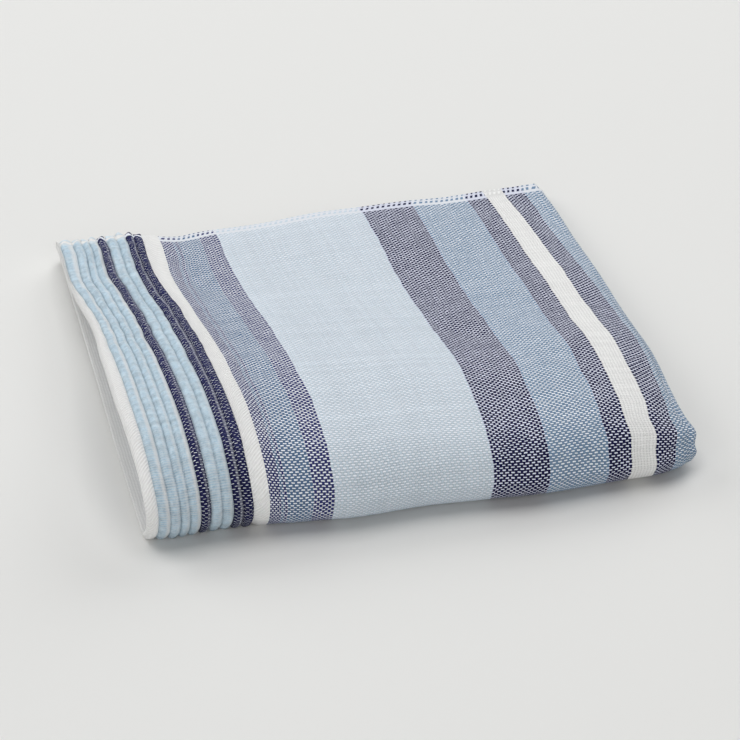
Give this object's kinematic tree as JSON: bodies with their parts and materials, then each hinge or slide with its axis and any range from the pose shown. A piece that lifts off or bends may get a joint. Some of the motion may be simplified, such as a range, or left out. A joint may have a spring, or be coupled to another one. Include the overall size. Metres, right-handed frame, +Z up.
{
  "type": "hand towel",
  "caption": "Square cotton hand towel with woven stripes and a ribbed end border, folded in quarters and lying flat with a fat front fold.",
  "frame": {"origin": "on the surface it lies on, under the middle of the folded towel", "axes": "+X along the front fold from the ribbed end border to the cross fold, +Y from the front fold to the selvedges, +Z up"},
  "size_m": [0.1744, 0.1738, 0.0305],
  "materials": {
    "cotton": "soft woven cotton in pale blue, navy, mid blue and white"
  },
  "bodies": {
    "root": {"towel": "cotton"}
  },
  "joints": []
}
